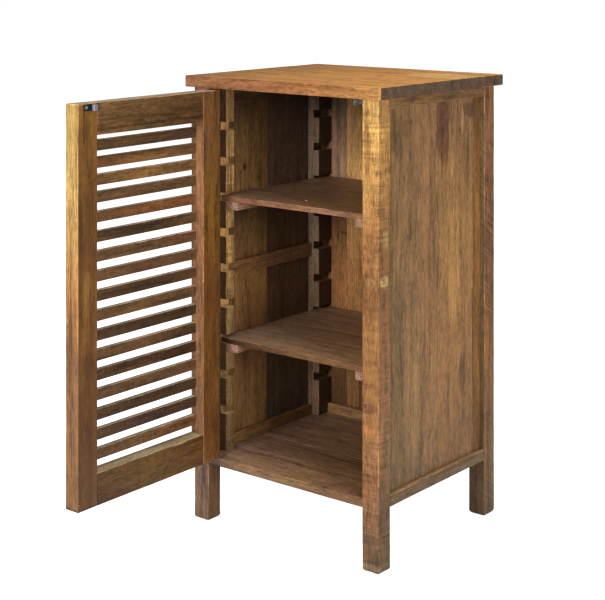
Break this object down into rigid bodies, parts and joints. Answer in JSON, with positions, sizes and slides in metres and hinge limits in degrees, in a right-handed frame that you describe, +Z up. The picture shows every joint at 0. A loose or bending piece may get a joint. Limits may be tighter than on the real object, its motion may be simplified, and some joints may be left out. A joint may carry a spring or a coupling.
{
  "type": "slatted-door cabinet",
  "caption": "Small floor-standing wooden cabinet on four legs, with a slatted hinged door that stands open, boarded sides and back, and shelves hung in notched battens.",
  "frame": {"origin": "on the floor, at the centre of the rectangle that the four legs stand in", "axes": "-Y is the front, +X the right-hand side seen from the front, +Z up"},
  "size_m": [0.436, 0.7182, 0.8],
  "materials": {
    "frame_wood": "satin stained solid wood, saw marks left in",
    "top_wood": "satin stained solid wood, planed",
    "panel_wood": "satin stained solid wood",
    "inner_wood": "satin stained solid wood, darker",
    "door_wood": "satin stained solid wood",
    "slat_wood": "satin stained rough-sawn wood",
    "hinge_steel": "plain steel, dulled",
    "catch_steel": "blued spring steel",
    "screw_steel": "plain steel"
  },
  "bodies": {
    "cabinet": {"back_board_1": "inner_wood", "back_board_2": "inner_wood", "back_board_3": "inner_wood", "batten_front_left": "inner_wood", "batten_front_right": "inner_wood", "batten_rear_left": "inner_wood", "batten_rear_right": "inner_wood", "bottom_board_front": "inner_wood", "bottom_board_rear": "inner_wood", "catch_body": "catch_steel", "hinge_leaves_frame": "hinge_steel", "hinge_pins": "hinge_steel", "post_front_left": "frame_wood", "post_front_right": "frame_wood", "post_rear_left": "frame_wood", "post_rear_right": "frame_wood", "rail_left_bottom": "frame_wood", "rail_left_middle": "frame_wood", "rail_left_top": "frame_wood", "rail_rear_bottom": "frame_wood", "rail_rear_top": "frame_wood", "rail_right_bottom": "frame_wood", "rail_right_middle": "frame_wood", "rail_right_top": "frame_wood", "screws_frame": "screw_steel", "shelf_cleats_lower": "inner_wood", "shelf_cleats_upper": "inner_wood", "shelf_lower": "inner_wood", "shelf_upper": "inner_wood", "side_board_left_1": "panel_wood", "side_board_left_2": "panel_wood", "side_board_right_1": "panel_wood", "side_board_right_2": "panel_wood", "side_board_right_3": "panel_wood", "top_board_front": "top_wood", "top_board_rear": "top_wood"},
    "door": {"door_rail_bottom": "door_wood", "door_rail_top": "door_wood", "door_slat_01": "slat_wood", "door_slat_02": "slat_wood", "door_slat_03": "slat_wood", "door_slat_04": "slat_wood", "door_slat_05": "slat_wood", "door_slat_06": "slat_wood", "door_slat_07": "slat_wood", "door_slat_08": "slat_wood", "door_slat_09": "slat_wood", "door_slat_10": "slat_wood", "door_slat_11": "slat_wood", "door_slat_12": "slat_wood", "door_slat_13": "slat_wood", "door_slat_14": "slat_wood", "door_slat_15": "slat_wood", "door_slat_16": "slat_wood", "door_slat_17": "slat_wood", "door_stile_hinge": "door_wood", "door_stile_latch": "door_wood", "hinge_leaves_door": "hinge_steel", "catch_strike": "catch_steel", "screws_door": "screw_steel"}
  },
  "joints": [
    {"name": "door_hinge", "type": "hinge", "parent": "cabinet", "child": "door", "pos_m": [-0.17075, -0.1835, 0.449], "axis": [0, 0, -1], "range_deg": [-90, 88]}
  ]
}
